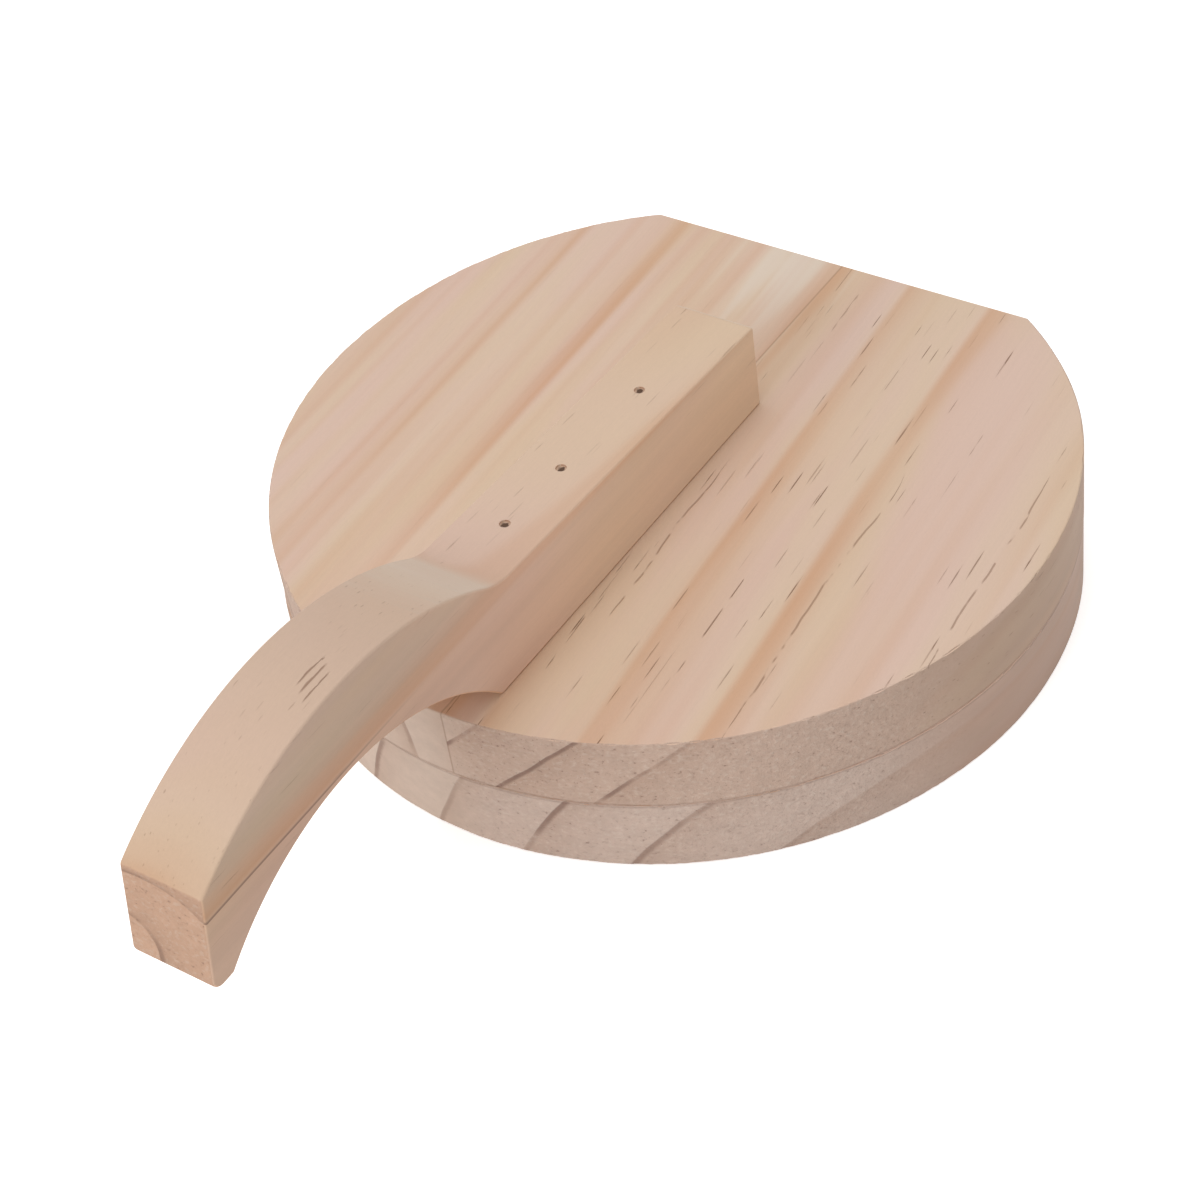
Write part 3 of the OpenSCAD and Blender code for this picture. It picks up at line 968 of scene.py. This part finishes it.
def makeBoard(name, node, material, seed):
    low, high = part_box(node)
    piece = emptyPiece(name)
    shape = piece.modifiers.new("disc", "NODES")
    shape.node_group = discTree
    setInputs(shape, {
        "Radius": (high.x - low.x) / 2,
        "Flat Distance": high.y,
        "Underside": low.z,
        "Thickness": high.z - low.z,
        "Arc Points": boardFinish["arcPoints"],
        "Waver": boardFinish["waver"] * mm,
        "Seed": seed,
        "Material": material,
    })
    addRounding(piece, boardFinish["arrisRound"], boardFinish["bevelSteps"])
    nicks = piece.modifiers.new("nicks", "NODES")
    nicks.node_group = nickedTree
    setInputs(nicks, {"Depth": boardFinish["nicks"] * mm, "Seed": seed})
    return dress(bake(piece), node)


discTree = boardTree()
nickedTree = nickTree()
makeBoard("pressBoard", "press_board", pressPine, seed=1.0)
makeBoard("baseBoard", "base_board", basePine, seed=2.0)
print("boards made")


# handle

handleFinish = {
    "arrisRound": 0.5,    # mm
    "bevelSteps": 3,
    "sharpAngle": 35,     # degrees; a fold sharper than this is an arris
    "flatAngle": 0.2,     # degrees; faces that fold less than this become one
    "weldWithin": 0.002,  # mm
    "bradClear": 2.5,     # mm round a brad's axis, where no edge is rounded
}


def makeHandle(finish):
    # the sawn bar, with its arrises rounded everywhere but at the brads' holes
    brads = [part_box(node) for node in ("handle_brad_front", "handle_brad_middle", "handle_brad_rear")]
    bradAxes = [(low + high) / 2 for low, high in brads]
    mesh = frame["nodes"]["handle"].data.copy()
    shape = bmesh.new()
    shape.from_mesh(mesh)
    bmesh.ops.remove_doubles(shape, verts=shape.verts, dist=finish["weldWithin"] * mm)
    flat = math.radians(finish["flatAngle"])
    bmesh.ops.dissolve_limit(shape, angle_limit=flat, verts=shape.verts, edges=shape.edges)
    weight = shape.edges.layers.float.new("bevel_weight_edge")
    for edge in shape.edges:
        middle = (edge.verts[0].co + edge.verts[1].co) / 2
        nearBrad = any((middle - axis).xy.length < finish["bradClear"] * mm for axis in bradAxes)
        if edge.calc_face_angle(0) > math.radians(finish["sharpAngle"]) and not nearBrad:
            edge[weight] = 1.0
    shape.to_mesh(mesh)
    shape.free()
    mesh.materials.clear()
    mesh.materials.append(handlePine)
    mesh.name = "pressHandle"
    piece = bpy.data.objects.new("pressHandle", mesh)
    scene.collection.objects.link(piece)
    addRounding(piece, finish["arrisRound"], finish["bevelSteps"], limit="WEIGHT")
    return dress(bake(piece), "handle")


makeHandle(handleFinish)
print("handle made")


# steel

leafLook = {"color": tone(190, 191, 192), "cloud": 0.25, "dullness": 0.34, "seed": 2.0}
pinLook = {"color": tone(176, 176, 174), "cloud": 0.25, "dullness": 0.30, "seed": 3.0}
bradLook = {                           # lengths in millimetres
    "color": tone(98, 78, 66),
    "edgeColor": tone(196, 166, 142),  # wood dust
    "cloud": 0.5, "dullness": 0.6, "seed": 1.0,
    "across": (1, 1, 0), "bareRadius": 0.48, "soft": 0.39, "ragged": 1.1,
}
screwLook = {
    "color": tone(194, 192, 187),
    "edgeColor": tone(118, 114, 106),  # grime
    "cloud": 0.2, "dullness": 0.28, "seed": 4.0,
    "across": (1, 0, 1), "bareRadius": 2.22, "soft": 0.28, "ragged": 0.25,
}
platingLook = {           # a stretch holds the swings in a millimetre along each axis
    "cloudStretch": (0.35, 0.35, 0.35),
    "scratchStretch": (0.35, 9.0, 9.0),
    "edgeStretch": (1.3, 1.3, 1.3),
    "scratchShade": 0.10,
    "cloudRoughness": 0.35,
    "scratchRoughness": 0.08,
    "cloudHeight": 0.02,  # mm
    "scratchHeight": 0.012,
}


def platingGroup():
    # Zinc plating: cloudy patches and fine rubbed scratches
    look = platingLook
    tree, given, out = newGroup("rubbedPlating", "ShaderNodeTree", {
        "Place": origin,
        "Tone": (0.7, 0.7, 0.7, 1.0),
        "Cloud": 0.2,
        "Dullness": 0.35,
        "Seed": 0.0,
    }, surfaceOutputs)
    own = seeded(tree, given["Place"], given["Seed"])
    cloud = noiseValue(tree, own, look["cloudStretch"], detail=3.0)
    scratch = noiseValue(tree, own, look["scratchStretch"], detail=2.0)
    cloudy = maths(tree, "SUBTRACT", cloud, 0.5)
    shade = swings(tree, 1.0, (scratch, look["scratchShade"]))
    shade = maths(tree, "MULTIPLY_ADD", cloudy, given["Cloud"], shade)
    rough = maths(tree, "MULTIPLY_ADD", cloudy, look["cloudRoughness"], given["Dullness"])
    rough = maths(tree, "MULTIPLY_ADD", scratch, look["scratchRoughness"], rough, clamp=True)
    height = times(tree, cloud, look["cloudHeight"])
    return closeGroup(tree, out, {
        "Color": vectorMaths(tree, "SCALE", given["Tone"], shade),
        "Roughness": rough,
        "Height": maths(tree, "MULTIPLY_ADD", scratch, look["scratchHeight"], height),
    })


def bareHeadGroup():
    # The head of a brad or a screw: 1 on its bare middle, 0 at its edge, where dust or grime lies
    tree, given, out = newGroup("bareHead", "ShaderNodeTree", {
        "Place": origin,
        "Middle": origin,
        "Across": (1.0, 1.0, 0.0),
        "Bare Radius": 0.6,
        "Soft": 0.3,
        "Ragged": 1.0,
    }, {"Bare": "NodeSocketFloat"})
    away = vectorMaths(tree, "SUBTRACT", given["Place"], given["Middle"])
    radius = vectorMaths(tree, "LENGTH", vectorMaths(tree, "MULTIPLY", away, given["Across"]))
    ragged = noiseValue(tree, given["Place"], platingLook["edgeStretch"], detail=2.0)
    reach = maths(tree, "MULTIPLY_ADD", maths(tree, "SUBTRACT", ragged, 0.5), given["Ragged"], radius)
    outer = maths(tree, "ADD", given["Bare Radius"], given["Soft"])
    return closeGroup(tree, out, {"Bare": smoothStep(tree, reach, outer, given["Bare Radius"])})


plating = platingGroup()
bareHead = bareHeadGroup()


def steelMaterial(name, look):
    material, tree, shader = newMaterial(name, look["color"])
    place = placeInMillimetres(tree, addNode(tree, "ShaderNodeTexCoord").outputs)
    steel = useGroup(tree, plating, {
        "Place": place, "Tone": look["color"], "Cloud": look["cloud"], "Dullness": look["dullness"],
        "Seed": look["seed"],
    })
    finishSurface(tree, shader, steel)
    shader.inputs["Metallic"].default_value = 1.0
    layOut(tree)
    return material


def headMaterial(node, look):
    # steel on the bare middle of a head, dust or grime at its edge
    low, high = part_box(node)
    material = steelMaterial(node + "Steel", look)
    tree = material.node_tree
    shader = tree.nodes["Principled BSDF"]
    steelColor = shader.inputs["Base Color"].links[0].from_socket
    bare = useGroup(tree, bareHead, {
        "Place": placeInMillimetres(tree, addNode(tree, "ShaderNodeTexCoord").outputs),
        "Middle": tuple((low + high) / 2 / mm), "Across": look["across"], "Bare Radius": look["bareRadius"],
        "Soft": look["soft"], "Ragged": look["ragged"],
    })["Bare"]
    tree.links.new(blendColors(tree, bare, look["edgeColor"], steelColor), shader.inputs["Base Color"])
    tree.links.new(bare, shader.inputs["Metallic"])
    layOut(tree)
    return material


def finishNode(node, material):
    data = frame["nodes"][node].data
    data.materials.clear()
    data.materials.append(material)


leafSteel = steelMaterial("leafSteel", leafLook)
pinSteel = steelMaterial("pinSteel", pinLook)
for node in frame["nodes"]:
    if node.startswith("handle_brad"):
        finishNode(node, headMaterial(node, bradLook))
    elif node.startswith("hinge_screw"):
        finishNode(node, headMaterial(node, screwLook))
    elif node.startswith("hinge_leaf"):
        finishNode(node, leafSteel)
    elif node == "hinge_pin":
        finishNode(node, pinSteel)
print("steel finished")


# floor, world and lamps

studio = {
    "floorSize": 6.0,   # m
    "floorTone": 0.82,
    "floorGlow": 0.45,  # what the floor adds of its own where it is looked at
    "floorRoughness": 0.9,
    "worldStrength": 0.53,
    "lamps": {          # place and size in m, power in W
        "overhead": {"place": (-0.1, 0.1, 1.6), "size": 1.0, "power": 8.6},
        "front": {"place": (-0.15, -1.35, 0.45), "size": 0.8, "power": 7.5},
    },
}


def seenDirectly(tree):
    # 1 for the camera and for what steel mirrors, 0 for the light that reaches the wood
    seen = addNode(tree, "ShaderNodeLightPath").outputs
    mirrored = maths(tree, "MAXIMUM", seen["Is Glossy Ray"], seen["Is Transmission Ray"])
    return maths(tree, "MAXIMUM", seen["Is Camera Ray"], mirrored)


def addFloor(setup):
    reach = setup["floorSize"] / 2
    corners = [(-reach, -reach, 0), (reach, -reach, 0), (reach, reach, 0), (-reach, reach, 0)]
    mesh = bpy.data.meshes.new("floor")
    mesh.from_pydata(corners, [], [(0, 1, 2, 3)])
    floor = bpy.data.objects.new("floor", mesh)
    scene.collection.objects.link(floor)
    material, tree, shader = newMaterial("floorPaper", (0.8, 0.8, 0.8, 1))
    directly = seenDirectly(tree)
    pale = setup["floorTone"]
    color = blendColors(tree, directly, (pale, pale, pale, 1), white)
    tree.links.new(color, shader.inputs["Base Color"])
    shader.inputs["Emission Color"].default_value = white
    tree.links.new(times(tree, directly, setup["floorGlow"]), shader.inputs["Emission Strength"])
    shader.inputs["Roughness"].default_value = setup["floorRoughness"]
    shader.inputs["Specular IOR Level"].default_value = 0.0
    layOut(tree)
    mesh.materials.append(material)


def addWorld(setup):
    world = bpy.data.worlds.new("studio")
    world.use_nodes = True
    scene.world = world
    tree = world.node_tree
    directly = seenDirectly(tree)
    strength = addNode(tree, "ShaderNodeMix", {0: directly, 2: setup["worldStrength"], 3: 1.0}).outputs[0]
    background = tree.nodes["Background"]
    background.inputs["Color"].default_value = white
    tree.links.new(strength, background.inputs["Strength"])
    layOut(tree)


def addLamp(name, setup):
    data = bpy.data.lights.new(name, "AREA")
    data.size = setup["size"]
    data.energy = setup["power"]
    lamp = bpy.data.objects.new(name, data)
    lamp.location = setup["place"]
    lamp.rotation_euler = (-Vector(setup["place"])).to_track_quat("-Z", "Y").to_euler()
    scene.collection.objects.link(lamp)


addFloor(studio)
addWorld(studio)
for lampName, lamp in studio["lamps"].items():
    addLamp(lampName, lamp)
print("studio lit")
